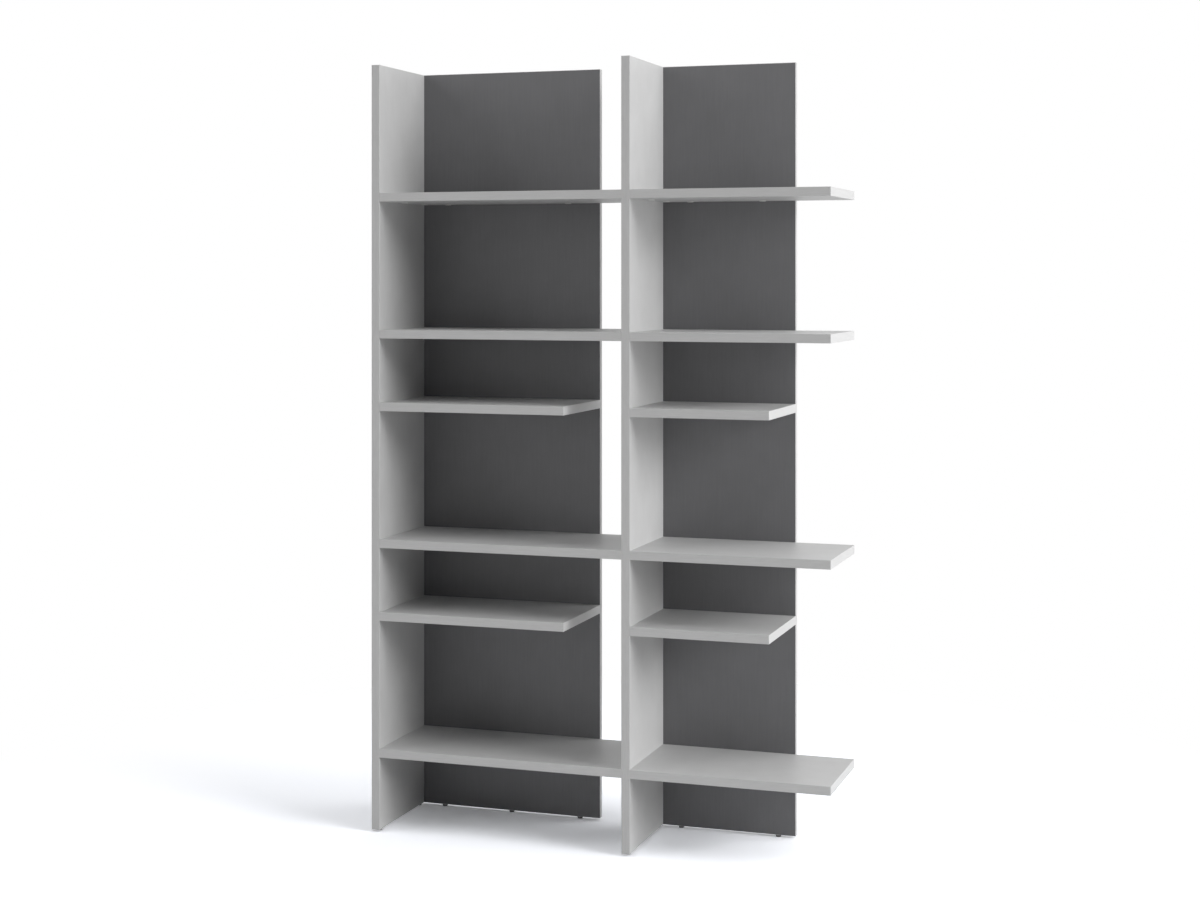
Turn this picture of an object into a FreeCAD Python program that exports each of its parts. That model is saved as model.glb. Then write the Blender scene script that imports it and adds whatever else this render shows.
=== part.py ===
import FreeCAD, Part
import math
import os

# Open bookcase: two uprights, two back panels and twelve shelves, held by cam connectors.
# Lengths are in millimetres. X runs to the right, Y to the back and Z up. The origin is on
# the floor, under the middle of the bookcase's width and depth.

# Boards
board_thickness = 22.0       # uprights and shelves
panel_thickness = 16.0       # back panels
shelf_depth = 284.0
left_bay_width = 650.0       # clear width between the two uprights
right_shelf_length = 500.0   # long shelves of the right bay, from the middle upright
panel_shortfall = 150.0      # how much each back panel is narrower than its bay's long shelves

# Clear heights
base_gap = 186.0             # below the lowest shelf
tall_gap = 328.0
low_gap = 164.0              # between a short shelf and the long shelf near it
top_gap = 328.0              # above the highest shelf

# Edge bands
band_thickness = 1.0
band_rounding = 0.8
widest_rounding_share = 0.9  # of the band's thickness

# Cam connectors
cam_diameter = 15.0
cam_distance = 24.0          # from the joint to the cam's centre
cam_past_bolt = 5.0          # how far the cam's bore goes past the bolt's axis
cam_sink = 0.3               # the cam's face below the board's face
cam_flank = 1.0              # room round the bolt's head in the locked cam
cam_slot_width = 1.4
cam_slot_length = 9.0
cam_slot_depth = 2.5
cam_turn = 110.0             # degrees, from the locked pose to the mouth for the bolt's head
bolt_diameter = 7.0
bolt_grip = 11.0             # thread in the board that carries the bolt
bolt_setback = 1.0           # from the thick part's end to the cam
thread_diameter = 5.0
thread_root_diameter = 4.0
thread_pitch = 2.2
neck_diameter = 3.6
head_diameter = 6.5
head_past_centre = 0.75      # the middle of the head beyond the middle of the cam

# Caps on the cams
cap_lip = 0.75               # how far a cap covers the board round its cam
cap_height = 1.4
cap_rounding = 0.6
cap_stem_diameter = 3.0
cap_stem_length = 2.0

# Dowels
dowel_diameter = 8.0
dowel_grip = 11.0            # in the board that carries the joint
dowel_reach = 19.0           # in the board that the joint holds
dowel_chamfer = 1.0
dowel_end_gap = 1.0

# Places of the fittings
end_cam_front_inset = 104.0  # from a shelf's front edge
end_cam_back_inset = 52.0    # from a shelf's back edge
back_cam_inset = 80.0        # from either side of a back panel
edge_cam_inset = 96.0        # from the top and bottom of a back panel
edge_cam_count = 5
dowel_spacing = 32.0         # from a cam to the dowel beside it

# Foot glides
glide_height = 6.0
glide_diameter = 14.0
glide_rounding = 1.0
glide_floor = 2.0            # plastic under the nail's head
upright_glide_inset = 25.0   # from the upright's front and back
left_panel_glide_inset = 58.0
right_panel_glide_inset = 47.0
nail_diameter = 2.2
nail_depth = 16.0
nail_point = 3.0
nail_head_diameter = 6.0
nail_head_thickness = 1.2

# Clearances
fit_gap = 0.1                # round each fitting that sits in its bore
bolt_gap = 0.5               # round a bolt's thick part, which runs free in its bore
turn_gap = 0.35              # round the bolt's neck and head inside the cam
overrun = 1.0                # how far a cut runs past the face that it opens

# Derived sizes. The caps on the back panels stand proud of them and count in the depth.
bolt_bore_diameter = bolt_diameter + 2 * bolt_gap
cap_diameter = cam_diameter + 2 * cap_lip
overall_width = 2 * board_thickness + left_bay_width + right_shelf_length
overall_depth = shelf_depth + panel_thickness + cap_height
shelf_gaps = [tall_gap, low_gap, tall_gap, low_gap, tall_gap]
overall_height = (
    glide_height + base_gap + sum(shelf_gaps) + (len(shelf_gaps) + 1) * board_thickness + top_gap
)
front = -overall_depth / 2
panel_front = front + shelf_depth
back = panel_front + panel_thickness

ALONG_X = FreeCAD.Vector(1, 0, 0)
ALONG_Y = FreeCAD.Vector(0, 1, 0)
ALONG_Z = FreeCAD.Vector(0, 0, 1)

# The six sides of a box: the axis that each is on, its outward sign and the side across.
side_axis = {"left": "x", "right": "x", "front": "y", "back": "y", "bottom": "z", "top": "z"}
side_sign = {"left": -1, "right": 1, "front": -1, "back": 1, "bottom": -1, "top": 1}
side_across = {
    "left": "right", "right": "left",
    "front": "back", "back": "front",
    "bottom": "top", "top": "bottom",
}


def block(box):
    """A solid box from the places of its six sides."""
    low = FreeCAD.Vector(box["left"], box["front"], box["bottom"])
    size = FreeCAD.Vector(box["right"], box["back"], box["top"]) - low
    return Part.makeBox(size.x, size.y, size.z, low)


def rod(diameter, start, end):
    """A round bar along a fitting's own X, from start to end."""
    return Part.makeCylinder(diameter / 2, end - start, FreeCAD.Vector(start, 0, 0), ALONG_X)


def post(diameter, x, low, high):
    """A round bar along a fitting's own Z, centred on x."""
    return Part.makeCylinder(diameter / 2, high - low, FreeCAD.Vector(x, 0, low), ALONG_Z)


def lies_on(edge, box, side):
    """Whether an edge lies wholly in one side of a box."""
    places = [getattr(vertex.Point, side_axis[side]) for vertex in edge.Vertexes]
    return all(math.isclose(place, box[side], abs_tol=band_thickness / 100) for place in places)


def edge_band(box, side, rounded_towards):
    """A band on one side of a board, its outer edges rounded towards the sides named."""
    band = block(box)
    edges = [
        edge
        for edge in band.Edges
        if lies_on(edge, box, side) and any(lies_on(edge, box, other) for other in rounded_towards)
    ]
    return band.makeFillet(min(band_rounding, band_thickness * widest_rounding_share), edges)


class Board:
    """A board with bands on some of its edges, and the holes that its fittings need.

    faces names its two broad sides. banded names its banded edges, where a band that comes
    first runs on over the ends of those after it.
    """

    def __init__(self, name, faces, banded, **box):
        self.name = name
        self.faces = faces
        self.banded = banded
        self.box = box
        self.holes = []

    def middle(self, side):
        """The middle of the board between a side and the side across."""
        return (self.box[side] + self.box[side_across[side]]) / 2

    def pieces(self):
        """The drilled board, and its drilled bands as one group."""
        core = dict(self.box)
        bands = []
        for number, side in enumerate(self.banded):
            inner = core[side] - side_sign[side] * band_thickness
            band = {**core, side_across[side]: inner}
            bands.append(edge_band(band, side, self.faces + self.banded[number + 1:]))
            core[side] = inner
        drilled_bands = [band.cut(self.holes) for band in bands]
        band_solids = [solid for band in drilled_bands for solid in band.Solids]
        return block(core).cut(self.holes).Solids[0], Part.makeCompound(band_solids)


def upright(name, left):
    return Board(
        name, ("left", "right"), ("front", "back", "top", "bottom"),
        left=left, right=left + board_thickness, front=front, back=back,
        bottom=glide_height, top=overall_height,
    )


def back_panel(name, left, width):
    """A back panel, whose left edge meets an upright."""
    return Board(
        name, ("front", "back"), ("right", "top", "bottom"),
        left=left, right=left + width, front=panel_front, back=back,
        bottom=glide_height, top=overall_height,
    )


def shelf(name, left, right, bottom, banded):
    return Board(
        name, ("bottom", "top"), banded,
        left=left, right=right, front=front, back=panel_front,
        bottom=bottom, top=bottom + board_thickness,
    )


def shelf_heights():
    """The undersides of the shelves, from the lowest up."""
    heights = [glide_height + base_gap]
    for gap in shelf_gaps:
        heights.append(heights[-1] + board_thickness + gap)
    return heights


def make_shelves(bay, left, long_right, short_right, long_banded):
    """The long and the short shelves of a bay, each numbered from the top down."""
    lowest, low_short, third, high_short, second, highest = shelf_heights()
    long_shelves = [
        shelf(f"{bay}_long_shelf_{number}", left, long_right, bottom, long_banded)
        for number, bottom in enumerate([highest, second, third, lowest], start=1)
    ]
    short_shelves = [
        shelf(f"{bay}_short_shelf_{number}", left, short_right, bottom, ("front", "right"))
        for number, bottom in enumerate([high_short, low_short], start=1)
    ]
    return long_shelves, short_shelves


# Fittings. Each is made about its joint: its own X runs from the joint into the board that
# the joint holds, and its own Z away from the side on which the cam's face shows.


def cam_bores(thickness):
    """The bolt's bore and the cam's bore in the board that a cam holds."""
    face = -thickness / 2
    return [
        rod(bolt_bore_diameter, -overrun, cam_distance),
        post(cam_diameter, cam_distance, face - overrun, cam_past_bolt),
    ]


def cam_slot(face, angle):
    """One arm of the cross in the cam's face, which the screwdriver turns."""
    corner = FreeCAD.Vector(cam_distance - cam_slot_length / 2, -cam_slot_width / 2, face - overrun)
    slot = Part.makeBox(cam_slot_length, cam_slot_width, cam_slot_depth + overrun, corner)
    slot.rotate(FreeCAD.Vector(cam_distance, 0, 0), ALONG_Z, angle)
    return slot


def cam(thickness):
    """A cam locked on the head of its bolt.

    The head comes in through a round mouth in the cam's side. As the cam turns, its neck
    passes along a slot, until the chamber's wall bears on the back of the head.
    """
    centre = FreeCAD.Vector(cam_distance, 0, 0)
    face = -thickness / 2 + cam_sink
    body = post(cam_diameter - 2 * fit_gap, cam_distance, face, cam_past_bolt)
    chamber_middle = cam_distance + head_past_centre + cam_flank
    chamber_reach = head_diameter / 2 + turn_gap
    chamber = post(head_diameter + 2 * cam_flank, chamber_middle, -chamber_reach, chamber_reach)
    slot_height = neck_diameter + 2 * turn_gap
    neck_way = rod(slot_height, 0, cam_distance)
    slot_floor = centre - ALONG_Z * slot_height / 2
    turned_slot = Part.makeCylinder(cam_diameter, slot_height, slot_floor, ALONG_Z, cam_turn)
    turned_slot.rotate(centre, ALONG_Z, 180)
    mouth = rod(head_diameter + 2 * turn_gap, 0, cam_distance)
    mouth.rotate(centre, ALONG_Z, cam_turn)
    stem_hole_end = face + cap_stem_length + turn_gap
    stem_hole = post(cap_stem_diameter + 2 * fit_gap, cam_distance, face - overrun, stem_hole_end)
    cross = [cam_slot(face, angle) for angle in (0, 90)]
    return body.cut([chamber, neck_way, turned_slot, mouth, stem_hole] + cross)


def cam_cap(thickness):
    """A round cap over the cam's bore, on a stem that plugs into the cam."""
    face = -thickness / 2
    disc = post(cap_diameter, cam_distance, face - cap_height, face)
    rim = [edge for edge in disc.Edges if edge.BoundBox.ZMax < face - cap_height / 2]
    domed = disc.makeFillet(min(cap_rounding, cap_height / 2), rim)
    stem = post(cap_stem_diameter, cam_distance, face, face + cam_sink + cap_stem_length)
    return domed.fuse(stem).removeSplitter()


def bolt_end():
    """The thick part, neck and ball head of a bolt, from the joint into the cam."""
    thick = rod(bolt_diameter, 0, cam_distance - cam_diameter / 2 - bolt_setback)
    head_middle = cam_distance + head_past_centre
    neck = rod(neck_diameter, 0, head_middle)
    head = Part.makeSphere(head_diameter / 2, FreeCAD.Vector(head_middle, 0, 0))
    return thick.fuse([neck, head])


def bolt_thread():
    """The screwed end of a bolt, as ridges that taper on both flanks."""
    root, crest = thread_root_diameter / 2, thread_diameter / 2
    ridges = int(bolt_grip / thread_pitch)
    outline = [(0, 0), (0, root)]
    for ridge in range(ridges):
        outline.append((-(ridge + 1 / 2) * thread_pitch, crest))
        outline.append((-(ridge + 1) * thread_pitch, root))
    if ridges * thread_pitch < bolt_grip - fit_gap:
        outline.append((-bolt_grip, root))
    outline.append((outline[-1][0], 0))
    points = [FreeCAD.Vector(x, 0, radius) for x, radius in outline]
    profile = Part.Face(Part.makePolygon(points + points[:1]))
    return profile.revolve(FreeCAD.Vector(0, 0, 0), ALONG_X, 360)


def screwed_bolt():
    return bolt_end().fuse(bolt_thread()).removeSplitter()


def through_bolt():
    """A bolt with a head at either end, which runs right through an upright."""
    near = bolt_end()
    far = near.mirror(FreeCAD.Vector(-board_thickness / 2, 0, 0), ALONG_X)
    shank = rod(bolt_diameter, -board_thickness, 0)
    return shank.fuse([near, far]).removeSplitter()


def dowel():
    """A dowel with chamfered ends."""
    bar = rod(dowel_diameter, -dowel_grip, dowel_reach)
    rims = [edge for edge in bar.Edges if edge.BoundBox.XLength < dowel_chamfer]
    return bar.makeChamfer(dowel_chamfer, rims)


def glide():
    """A round foot, hollow for the head and shank of its nail. Its own origin is on the floor."""
    body = post(glide_diameter, 0, 0, glide_height)
    rim = [edge for edge in body.Edges if edge.BoundBox.ZMax < glide_height / 2]
    head_top = glide_floor + nail_head_thickness
    head_room = post(nail_head_diameter + 2 * fit_gap, 0, glide_floor, head_top + fit_gap)
    shank_room = post(nail_diameter + 2 * fit_gap, 0, glide_floor, glide_height + overrun)
    return body.makeFillet(glide_rounding, rim).cut([head_room, shank_room])


def nail():
    """A nail, head down, whose point is in the board above the glide."""
    head = post(nail_head_diameter, 0, glide_floor, glide_floor + nail_head_thickness)
    tip = glide_height + nail_depth
    shank = post(nail_diameter, 0, glide_floor, tip - nail_point)
    point = Part.makeCone(nail_diameter / 2, 0, nail_point, FreeCAD.Vector(0, 0, tip - nail_point))
    return head.fuse([shank, point]).removeSplitter()


def facing(point, inward, cap_side):
    """The place of a fitting: the joint's point, and the ways its own X and its cap face."""
    up = cap_side.negative()
    return FreeCAD.Placement(point, FreeCAD.Rotation(inward, up.cross(inward), up, "XZY"))


def placed(shape, place):
    return shape.transformed(place.toMatrix())


class Fittings:
    """The fittings of each kind, as groups by name. Each is bored for as it is put in."""

    def __init__(self):
        self.groups = {}
        self.shapes = {
            "screwed": screwed_bolt(),
            "through": through_bolt(),
            "dowel": dowel(),
            "glide": glide(),
            "nail": nail(),
        }
        self.bolt_holes = {
            "screwed": rod(thread_diameter + 2 * fit_gap, -bolt_grip, overrun),
            "through": rod(bolt_bore_diameter, -board_thickness - overrun, overrun),
        }
        self.cams = {thickness: cam(thickness) for thickness in (board_thickness, panel_thickness)}

    def add(self, name, shape, place):
        self.groups.setdefault(name, []).append(placed(shape, place))

    def fit_cam(self, held, thickness, place, name):
        """A cam and its cap in the board that the joint holds."""
        held.holes += [placed(bore, place) for bore in cam_bores(thickness)]
        self.add(f"{name}_cams", self.cams[thickness], place)
        self.add(f"{name}_caps", cam_cap(thickness), place)

    def fit_bolt(self, carrier, kind, place, name):
        """A bolt, screwed into the board that carries the joint or right through it."""
        carrier.holes.append(placed(self.bolt_holes[kind], place))
        self.add(name, self.shapes[kind], place)

    def fit_dowel(self, carrier, held, place):
        bore = dowel_diameter + 2 * fit_gap
        carrier.holes.append(placed(rod(bore, -dowel_grip, overrun), place))
        held.holes.append(placed(rod(bore, -overrun, dowel_reach + dowel_end_gap), place))
        self.add(f"{carrier.name}_dowels", self.shapes["dowel"], place)

    def fit_glide(self, board, x, y):
        place = FreeCAD.Placement(FreeCAD.Vector(x, y, 0), FreeCAD.Rotation())
        nail_hole_end = glide_height + nail_depth
        nail_hole = post(nail_diameter + 2 * fit_gap, 0, glide_height - overrun, nail_hole_end)
        board.holes.append(placed(nail_hole, place))
        self.add(f"{board.name}_glides", self.shapes["glide"], place)
        self.add("glide_nails", self.shapes["nail"], place)


def fasten_end(fittings, shelf, end, carrier, bolt_kind, dowel_side):
    """Two cams and two dowels between an end of a shelf and its upright.

    dowel_side puts the dowels before the cams, -1, or behind them, 1, so that those of the
    shelves on either side of the middle upright don't meet. Where bolt_kind is None, the
    bolts come through from the shelf on the upright's other side.
    """
    inward = ALONG_X * -side_sign[end]
    front_cam = shelf.box["front"] + end_cam_front_inset
    back_cam = shelf.box["back"] - end_cam_back_inset
    for y in (front_cam, back_cam):
        point = FreeCAD.Vector(shelf.box[end], y, shelf.middle("bottom"))
        place = facing(point, inward, ALONG_Z.negative())
        fittings.fit_cam(shelf, board_thickness, place, f"{shelf.name.split('_')[0]}_shelf_end")
        if bolt_kind:
            fittings.fit_bolt(carrier, bolt_kind, place, f"{carrier.name}_{bolt_kind}_bolts")
        beside = point + ALONG_Y * dowel_side * dowel_spacing
        fittings.fit_dowel(carrier, shelf, facing(beside, inward, ALONG_Z.negative()))


def fasten_back(fittings, shelf, panel):
    """Two cams and two dowels between the back of a shelf and its back panel."""
    for side in ("left", "right"):
        inset = ALONG_X * -side_sign[side]
        corner = FreeCAD.Vector(panel.box[side], panel.box["front"], shelf.middle("bottom"))
        place = facing(corner + inset * back_cam_inset, ALONG_Y.negative(), ALONG_Z.negative())
        fittings.fit_cam(shelf, board_thickness, place, f"{shelf.name.split('_')[0]}_shelf_back")
        fittings.fit_bolt(panel, "screwed", place, f"{panel.name}_screwed_bolts")
        beside = corner + inset * (back_cam_inset + dowel_spacing)
        fittings.fit_dowel(panel, shelf, facing(beside, ALONG_Y.negative(), ALONG_Z.negative()))


def fasten_panel(fittings, panel, carrier):
    """Cams and dowels up the edge of a back panel, where it meets its upright."""
    lowest = panel.box["bottom"] + edge_cam_inset
    highest = panel.box["top"] - edge_cam_inset - dowel_spacing
    for number in range(edge_cam_count):
        z = lowest + (highest - lowest) * number / (edge_cam_count - 1)
        point = FreeCAD.Vector(panel.box["left"], panel.middle("front"), z)
        place = facing(point, ALONG_X, ALONG_Y)
        fittings.fit_cam(panel, panel_thickness, place, panel.name)
        fittings.fit_bolt(carrier, "screwed", place, f"{carrier.name}_screwed_bolts")
        fittings.fit_dowel(carrier, panel, facing(point + ALONG_Z * dowel_spacing, ALONG_X, ALONG_Y))


def fit_upright_glides(fittings, board):
    """A glide under the front and under the back of an upright."""
    for y in (board.box["front"] + upright_glide_inset, board.box["back"] - upright_glide_inset):
        fittings.fit_glide(board, board.middle("left"), y)


def fit_panel_glides(fittings, panel, inset, in_the_middle):
    """Glides near both sides of a back panel, and under its middle if it is wide."""
    places = [panel.box["left"] + inset, panel.box["right"] - inset]
    if in_the_middle:
        places.append(panel.middle("left"))
    for x in places:
        fittings.fit_glide(panel, x, panel.middle("front"))


def build():
    """All the pieces by node name."""
    left_upright = upright("left_upright", -overall_width / 2)
    middle_upright = upright("middle_upright", left_upright.box["right"] + left_bay_width)
    left_panel = back_panel(
        "left_back_panel", left_upright.box["right"], left_bay_width - panel_shortfall
    )
    right_panel = back_panel(
        "right_back_panel", middle_upright.box["right"], right_shelf_length - panel_shortfall
    )
    left_long, left_short = make_shelves(
        "left", left_panel.box["left"], middle_upright.box["left"], left_panel.box["right"],
        ("front", "back"),
    )
    right_long, right_short = make_shelves(
        "right", right_panel.box["left"], right_panel.box["left"] + right_shelf_length,
        right_panel.box["right"], ("front", "back", "right"),
    )

    fittings = Fittings()
    fasten_panel(fittings, left_panel, left_upright)
    fasten_panel(fittings, right_panel, middle_upright)
    for board in left_long + left_short:
        fasten_back(fittings, board, left_panel)
        fasten_end(fittings, board, "left", left_upright, "screwed", -1)
    for board in left_long:
        fasten_end(fittings, board, "right", middle_upright, None, -1)
    for board in right_long + right_short:
        fasten_back(fittings, board, right_panel)
        bolt_kind = "through" if board in right_long else "screwed"
        fasten_end(fittings, board, "left", middle_upright, bolt_kind, 1)
    fit_upright_glides(fittings, left_upright)
    fit_upright_glides(fittings, middle_upright)
    fit_panel_glides(fittings, left_panel, left_panel_glide_inset, True)
    fit_panel_glides(fittings, right_panel, right_panel_glide_inset, False)

    nodes = {}
    uprights_and_panels = [left_upright, middle_upright, left_panel, right_panel]
    for board in uprights_and_panels + left_long + left_short + right_long + right_short:
        nodes[board.name], nodes[f"{board.name}_edge_bands"] = board.pieces()
    for name, shapes in fittings.groups.items():
        nodes[name] = Part.makeCompound(shapes)
    return nodes


os.makedirs("parts", exist_ok=True)
for name, shape in build().items():
    shape.exportStep(f"parts/{name}.step")
    print(name, len(shape.Solids), "valid" if shape.isValid() else "NOT valid")
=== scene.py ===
import math

import bpy
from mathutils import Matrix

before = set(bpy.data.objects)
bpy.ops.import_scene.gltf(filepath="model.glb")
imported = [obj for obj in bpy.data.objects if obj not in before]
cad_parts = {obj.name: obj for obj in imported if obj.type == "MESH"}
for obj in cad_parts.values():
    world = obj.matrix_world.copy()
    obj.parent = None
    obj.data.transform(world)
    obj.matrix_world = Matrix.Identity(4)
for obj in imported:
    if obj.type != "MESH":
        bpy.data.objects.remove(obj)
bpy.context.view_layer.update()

MM = 0.001

# Nearly all values of a noise lie between these two.
NOISE_LOW = 0.3
NOISE_HIGH = 0.7

# A streak is this many times as long as it is wide. ALONG stretches it along one axis.
STREAK_STRETCH = 20
ALONG = {
    "x": (1 / STREAK_STRETCH, 1.0, 1.0),
    "y": (1.0, 1 / STREAK_STRETCH, 1.0),
    "z": (1.0, 1.0, 1 / STREAK_STRETCH),
}


def linear(hex_colour):
    """An sRGB hex colour as the linear values that shaders take."""
    red, green, blue = (
        share / 12.92 if share <= 0.04045 else ((share + 0.055) / 1.055) ** 2.4
        for share in (int(hex_colour[place:place + 2], 16) / 255 for place in (0, 2, 4))
    )
    return red, green, blue, 1.0


def add(tree, kind, inputs=None, stops=(), **settings):
    """Adds a node with its settings and links.

    An input goes by its name, or by its number where several have one name, and is given as
    a value or as the socket that feeds it. The stops of a colour ramp are given as pairs, each
    a place on the ramp and an sRGB hex colour.
    """
    node = tree.nodes.new(kind)
    for name, value in settings.items():
        setattr(node, name, value)
    for name, value in (inputs or {}).items():
        if isinstance(value, bpy.types.NodeSocket):
            tree.links.new(value, node.inputs[name])
        else:
            node.inputs[name].default_value = value
    for number, (place, hex_colour) in enumerate(stops):
        node.color_ramp.elements[number].position = place
        node.color_ramp.elements[number].color = linear(hex_colour)
    return node


def new_material(name):
    """An empty material. Returns it with its node tree and the place of a point on the object."""
    material = bpy.data.materials.new(name)
    material.use_nodes = True
    material.node_tree.nodes.clear()
    place = add(material.node_tree, "ShaderNodeTexCoord").outputs["Object"]
    return material, material.node_tree, place


def finish_material(tree, inputs):
    """Ends a material in one physical surface with these inputs."""
    surface = add(tree, "ShaderNodeBsdfPrincipled", inputs)
    add(tree, "ShaderNodeOutputMaterial", {"Surface": surface.outputs["BSDF"]})


def melamine_faced_chipboard(name, deep, pale, along, rough, rough_spread):
    """Chipboard pressed with a plain-coloured melamine paper between steel plates.

    To the eye it is matt with a soft sheen. The paper is faintly cloudy, with streaks along
    the board that can only just be seen, and the plate leaves a fine pearled skin.
    """
    cloud_width = 60 * MM
    # Real streaks are under 1 mm wide, too fine to show.
    streak_width = 4 * MM
    streak_share = 0.55
    pearl_spacing = 1.5 * MM
    pearl_height = 0.06 * MM
    material, tree, place = new_material(name)
    clouds = add(tree, "ShaderNodeTexNoise", {
        "Vector": place, "Scale": 1 / cloud_width, "Detail": 3.0,
    })
    stretched = add(tree, "ShaderNodeMapping", {"Vector": place, "Scale": ALONG[along]})
    streaks = add(tree, "ShaderNodeTexNoise", {
        "Vector": stretched.outputs["Vector"], "Scale": 1 / streak_width,
        "Detail": 4.0, "Roughness": 0.6,
    })
    both = add(tree, "ShaderNodeMix", {
        "Factor": streak_share, "A": clouds.outputs["Fac"], "B": streaks.outputs["Fac"],
    })
    tones = add(tree, "ShaderNodeValToRGB", {"Fac": both.outputs["Result"]},
                stops=[(0.36, deep), (0.64, pale)])
    sheen = add(tree, "ShaderNodeMapRange", {
        "Value": streaks.outputs["Fac"], "From Min": NOISE_LOW, "From Max": NOISE_HIGH,
        "To Min": rough - rough_spread, "To Max": rough + rough_spread,
    })
    pearls = add(tree, "ShaderNodeTexNoise", {
        "Vector": place, "Scale": 1 / pearl_spacing, "Detail": 2.0,
    })
    skin = add(tree, "ShaderNodeBump", {
        "Height": pearls.outputs["Fac"], "Strength": 0.35, "Distance": pearl_height,
    })
    finish_material(tree, {
        "Base Color": tones.outputs["Color"], "Roughness": sheen.outputs["Result"],
        "IOR": 1.55, "Normal": skin.outputs["Normal"],
    })
    return material


def abs_edging(name, deep, pale, along):
    """ABS band, extruded and glued on, its edges milled round and scraped.

    To the eye it is a touch glossier than the board, with hairlines along it.
    """
    # Real hairlines are finer, too fine to show.
    hairline_spacing = 1.5 * MM
    hairline_height = 0.03 * MM
    smoothest, roughest = 0.36, 0.48
    material, tree, place = new_material(name)
    stretched = add(tree, "ShaderNodeMapping", {"Vector": place, "Scale": ALONG[along]})
    hairlines = add(tree, "ShaderNodeTexNoise", {
        "Vector": stretched.outputs["Vector"], "Scale": 1 / hairline_spacing, "Detail": 3.0,
    })
    tones = add(tree, "ShaderNodeValToRGB", {"Fac": hairlines.outputs["Fac"]},
                stops=[(0.35, deep), (0.65, pale)])
    gloss = add(tree, "ShaderNodeMapRange", {
        "Value": hairlines.outputs["Fac"], "From Min": NOISE_LOW, "From Max": NOISE_HIGH,
        "To Min": smoothest, "To Max": roughest,
    })
    ridges = add(tree, "ShaderNodeBump", {
        "Height": hairlines.outputs["Fac"], "Strength": 0.25, "Distance": hairline_height,
    })
    finish_material(tree, {
        "Base Color": tones.outputs["Color"], "Roughness": gloss.outputs["Result"],
        "IOR": 1.53, "Normal": ridges.outputs["Normal"],
    })
    return material


def moulded_plastic(name, deep, pale, ior, rough):
    """Injection-moulded plastic from a sparked mould, for pieces 14 to 17 mm across.

    To the eye it is even in colour, with a fine satin grain and faint flow clouds.
    """
    cloud_width = 6 * MM
    grain_spacing = 0.5 * MM
    grain_height = 0.03 * MM
    rough_spread = 0.05
    material, tree, place = new_material(name)
    flow = add(tree, "ShaderNodeTexNoise", {
        "Vector": place, "Scale": 1 / cloud_width, "Detail": 2.0,
    })
    tones = add(tree, "ShaderNodeValToRGB", {"Fac": flow.outputs["Fac"]},
                stops=[(0.35, deep), (0.65, pale)])
    grain = add(tree, "ShaderNodeTexNoise", {
        "Vector": place, "Scale": 1 / grain_spacing, "Detail": 1.0,
    })
    satin = add(tree, "ShaderNodeMapRange", {
        "Value": grain.outputs["Fac"], "From Min": NOISE_LOW, "From Max": NOISE_HIGH,
        "To Min": rough - rough_spread, "To Max": rough + rough_spread,
    })
    sparked = add(tree, "ShaderNodeBump", {
        "Height": grain.outputs["Fac"], "Strength": 0.3, "Distance": grain_height,
    })
    finish_material(tree, {
        "Base Color": tones.outputs["Color"], "Roughness": satin.outputs["Result"],
        "IOR": ior, "Normal": sparked.outputs["Normal"],
    })
    return material


def metal(name, deep, pale, grain_width, grain_height, rough):
    """A bare or plated metal. To the eye its skin is finely uneven in tone and gloss."""
    rough_spread = 0.08
    material, tree, place = new_material(name)
    skin = add(tree, "ShaderNodeTexNoise", {
        "Vector": place, "Scale": 1 / grain_width, "Detail": 4.0,
    })
    tones = add(tree, "ShaderNodeValToRGB", {"Fac": skin.outputs["Fac"]},
                stops=[(0.3, deep), (0.7, pale)])
    dullness = add(tree, "ShaderNodeMapRange", {
        "Value": skin.outputs["Fac"], "From Min": NOISE_LOW, "From Max": NOISE_HIGH,
        "To Min": rough - rough_spread, "To Max": rough + rough_spread,
    })
    uneven = add(tree, "ShaderNodeBump", {
        "Height": skin.outputs["Fac"], "Strength": 0.4, "Distance": grain_height,
    })
    finish_material(tree, {
        "Base Color": tones.outputs["Color"], "Metallic": 1.0,
        "Roughness": dullness.outputs["Result"], "Normal": uneven.outputs["Normal"],
    })
    return material


def beech(name, along):
    """Turned beech, bare. To the eye it is pinkish tan, with short dark flecks along the grain."""
    fleck_width = 0.6 * MM
    fibre_height = 0.08 * MM
    material, tree, place = new_material(name)
    stretched = add(tree, "ShaderNodeMapping", {"Vector": place, "Scale": ALONG[along]})
    flecks = add(tree, "ShaderNodeTexNoise", {
        "Vector": stretched.outputs["Vector"], "Scale": 1 / fleck_width,
        "Detail": 5.0, "Roughness": 0.65,
    })
    tones = add(tree, "ShaderNodeValToRGB", {"Fac": flecks.outputs["Fac"]},
                stops=[(0.38, "A77B52"), (0.56, "D8B48A")])
    fibres = add(tree, "ShaderNodeBump", {
        "Height": flecks.outputs["Fac"], "Strength": 0.4, "Distance": fibre_height,
    })
    finish_material(tree, {
        "Base Color": tones.outputs["Color"], "Roughness": 0.62, "IOR": 1.5,
        "Normal": fibres.outputs["Normal"],
    })
    return material


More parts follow.
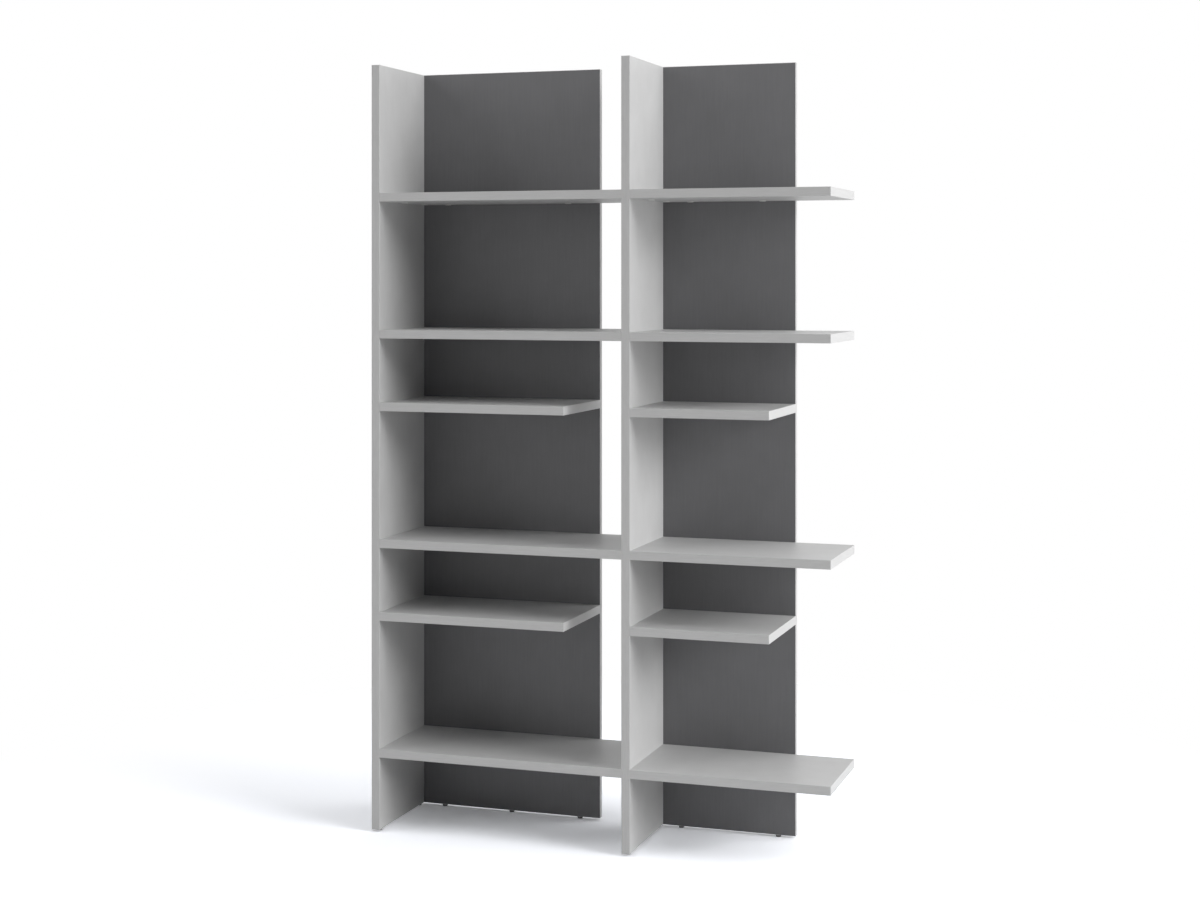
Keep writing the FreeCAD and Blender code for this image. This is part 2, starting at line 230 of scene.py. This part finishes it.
LIGHT_BOARD = {"deep": "C4C4C4", "pale": "CACACA", "rough": 0.5, "rough_spread": 0.05}
LIGHT_EDGING = {"deep": "C5C5C5", "pale": "CACACA"}
light_upright_board = melamine_faced_chipboard(
    "melamine_faced_chipboard_light_grey_upright", along="z", **LIGHT_BOARD)
light_shelf_board = melamine_faced_chipboard(
    "melamine_faced_chipboard_light_grey_shelf", along="x", **LIGHT_BOARD)
dark_panel_board = melamine_faced_chipboard(
    "melamine_faced_chipboard_dark_grey", deep="68686A", pale="6D6D6F", along="z",
    rough=0.46, rough_spread=0.02)
upright_edging = abs_edging("abs_edging_light_grey_upright", along="z", **LIGHT_EDGING)
shelf_edging = abs_edging("abs_edging_light_grey_shelf", along="x", **LIGHT_EDGING)
cap_plastic = moulded_plastic(
    "moulded_polypropylene_white", deep="E6E6E4", pale="ECECEA", ior=1.49, rough=0.4)
glide_plastic = moulded_plastic(
    "moulded_polyethylene_grey", deep="6C6C6A", pale="777775", ior=1.52, rough=0.48)
# Zinc die casting is dull to the eye, and slightly cloudy.
cam_zinc = metal(
    "zinc_die_cast", deep="9FA1A2", pale="B8BABB",
    grain_width=1.2 * MM, grain_height=0.05 * MM, rough=0.44)
# Plated steel is brighter, with a faint warm cast.
bolt_steel = metal(
    "zinc_plated_steel", deep="B9B6AB", pale="CFCDC4",
    grain_width=0.8 * MM, grain_height=0.02 * MM, rough=0.3)
# Drawn steel wire is a plain bright grey.
nail_steel = metal(
    "bright_steel", deep="9C9D9E", pale="B4B5B6",
    grain_width=0.8 * MM, grain_height=0.02 * MM, rough=0.34)
dowel_beech_along_x = beech("beech_along_x", along="x")
dowel_beech_along_y = beech("beech_along_y", along="y")


def material_for(node):
    """The material of a CAD node, by its name."""
    on_panel = "back_panel" in node
    if node.endswith("_edge_bands"):
        return shelf_edging if "shelf" in node else upright_edging
    if node.endswith("_caps"):
        return cap_plastic
    if node.endswith("_cams"):
        return cam_zinc
    if node.endswith("_bolts"):
        return bolt_steel
    if node.endswith("_dowels"):
        return dowel_beech_along_y if on_panel else dowel_beech_along_x
    if node.endswith("_glides"):
        return glide_plastic
    if node == "glide_nails":
        return nail_steel
    if on_panel:
        return dark_panel_board
    return light_shelf_board if "shelf" in node else light_upright_board


for name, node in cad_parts.items():
    node.data.materials.clear()
    node.data.materials.append(material_for(name))


def background_rays(tree):
    """1 for rays that show the background, to the camera or in gloss or glass, and else 0."""
    rays = add(tree, "ShaderNodeLightPath")
    seen = add(tree, "ShaderNodeMath", {
        0: rays.outputs["Is Camera Ray"], 1: rays.outputs["Is Glossy Ray"],
    }, operation="MAXIMUM")
    seen = add(tree, "ShaderNodeMath", {
        0: seen.outputs["Value"], 1: rays.outputs["Is Transmission Ray"],
    }, operation="MAXIMUM")
    return seen.outputs["Value"]


# The floor, plain and pale. The light that it throws on the bookcase has its matt colour. What
# is seen of it is brighter by a gain, at which it is white wherever no shadow falls, and it is
# a touch blue, so that the shadow looks cool.
WHITE = linear("FFFFFF")
FLOOR_SIDE = 40.0
FLOOR_COLOUR = linear("E7E7E7")
FLOOR_GAIN = 1.73
FLOOR_SEEN = [FLOOR_GAIN * share for share in linear("F8FAFF")]
bpy.ops.object.select_all(action="DESELECT")
bpy.ops.mesh.primitive_plane_add(size=FLOOR_SIDE, location=(0, 0, 0))
floor = bpy.context.object
floor.name = "studio_floor"
floor_material, tree, place = new_material("studio_floor_white")
seen = background_rays(tree)
matt = add(tree, "ShaderNodeBsdfDiffuse", {"Color": FLOOR_COLOUR})
bright = add(tree, "ShaderNodeBsdfDiffuse", {"Color": FLOOR_SEEN})
near = add(tree, "ShaderNodeMixShader", {
    0: seen, 1: matt.outputs["BSDF"], 2: bright.outputs["BSDF"],
})
# Out to the shadow's reach from the middle, what is seen of the floor has a little of the
# backdrop's white in it. From there on it turns into that white.
SHADOW_REACH = 1.0
ALL_WHITE_FROM = 2.0
WHITE_IN_SHADOW = 0.08
backdrop = add(tree, "ShaderNodeEmission", {"Color": WHITE, "Strength": 1.0})
distance = add(tree, "ShaderNodeVectorMath", {0: place}, operation="LENGTH")
fade = add(tree, "ShaderNodeMapRange", {
    "Value": distance.outputs["Value"], "From Min": SHADOW_REACH, "From Max": ALL_WHITE_FROM,
    "To Min": WHITE_IN_SHADOW, "To Max": 1.0,
}, interpolation_type="SMOOTHSTEP")
fade_seen = add(tree, "ShaderNodeMath", {
    0: fade.outputs["Result"], 1: seen,
}, operation="MULTIPLY")
blended = add(tree, "ShaderNodeMixShader", {
    0: fade_seen.outputs["Value"], 1: near.outputs["Shader"], 2: backdrop.outputs["Emission"],
})
add(tree, "ShaderNodeOutputMaterial", {"Surface": blended.outputs["Shader"]})
floor.data.materials.append(floor_material)

# The studio: a little light all round, and a backdrop that is seen as white.
ROUND_LIGHT = 0.02
world = bpy.data.worlds.new("studio")
world.use_nodes = True
tree = world.node_tree
tree.nodes.clear()
even = add(tree, "ShaderNodeBackground", {"Color": WHITE, "Strength": ROUND_LIGHT})
white = add(tree, "ShaderNodeBackground", {"Color": WHITE, "Strength": 1.0})
sky = add(tree, "ShaderNodeMixShader", {
    0: background_rays(tree), 1: even.outputs["Background"], 2: white.outputs["Background"],
})
add(tree, "ShaderNodeOutputWorld", {"Surface": sky.outputs["Shader"]})
bpy.context.scene.world = world

# An unturned lamp or camera looks straight down. Turned by this many degrees it looks level,
# to the back.
LEVEL = 90


def hang(light, azimuth, elevation, location=(0, 0, 0)):
    """Puts a lamp in the studio. Azimuth 0 is in front of the bookcase and 90 on its right."""
    holder = bpy.data.objects.new(light.name, light)
    bpy.context.scene.collection.objects.link(holder)
    holder.location = location
    holder.rotation_euler = (math.radians(LEVEL - elevation), 0, math.radians(azimuth))
    return holder


def far_lamp(name, share, softness, azimuth, elevation):
    """A far soft lamp. Share 1 lights a face square to it as brightly as its colour is written."""
    light = bpy.data.lights.new(name, "SUN")
    light.energy = math.pi * share
    light.angle = math.radians(softness)
    hang(light, azimuth, elevation)


def soft_box(name, share, side, azimuth, reach, height, aim):
    """A square soft lamp near by, turned to the bookcase at the height of its aim.

    Share 1 lights a face at the aim, square to it, as brightly as its colour is written.
    """
    light = bpy.data.lights.new(name, "AREA")
    light.shape = "SQUARE"
    light.size = side
    light.energy = math.pi ** 2 * (reach ** 2 + (height - aim) ** 2) * share
    turn = math.radians(azimuth)
    elevation = math.degrees(math.atan2(height - aim, reach))
    location = (reach * math.sin(turn), -reach * math.cos(turn), height)
    hang(light, azimuth, elevation, location).visible_camera = False


# A wide soft lamp from above, softer ones from the right and from the left in front, and a
# soft box near the right side. Angles are in degrees and lengths in metres.
far_lamp("lamp_from_above", share=0.32, softness=70, azimuth=90, elevation=80)
far_lamp("lamp_low_on_the_right", share=0.22, softness=30, azimuth=88, elevation=8)
far_lamp("lamp_on_the_right_in_front", share=0.38, softness=26, azimuth=75, elevation=22)
far_lamp("lamp_on_the_right_behind", share=0.13, softness=30, azimuth=120, elevation=35)
far_lamp("lamp_on_the_left_in_front", share=0.34, softness=50, azimuth=-60, elevation=22)
soft_box("soft_box_on_the_right", share=0.24, side=1.2,
         azimuth=87, reach=2.0, height=1.4, aim=1.0)

# The camera looks level, from the height and side that the photograph's lines give. The
# image is taken as 1200 by 900 pixels, and FOCAL and HORIZON are in those pixels.
IMAGE_WIDTH = 1200
IMAGE_HEIGHT = 900
FOCAL = 1978.26
HORIZON = 275.07
CAMERA_PLACE = (1.573, -4.76583, 1.42601)
CAMERA_AZIMUTH = 18.595
SENSOR_WIDTH = 36.0
CLIP_DISTANCE = 100.0
camera_data = bpy.data.cameras.new("camera")
camera = bpy.data.objects.new("camera", camera_data)
bpy.context.scene.collection.objects.link(camera)
camera.location = CAMERA_PLACE
camera.rotation_euler = (math.radians(LEVEL), 0, math.radians(CAMERA_AZIMUTH))
camera_data.sensor_width = SENSOR_WIDTH
camera_data.lens = FOCAL / IMAGE_WIDTH * SENSOR_WIDTH
camera_data.shift_y = (HORIZON - IMAGE_HEIGHT / 2) / IMAGE_WIDTH
camera_data.clip_end = CLIP_DISTANCE
bpy.context.scene.camera = camera

bpy.context.scene.view_settings.view_transform = "Standard"
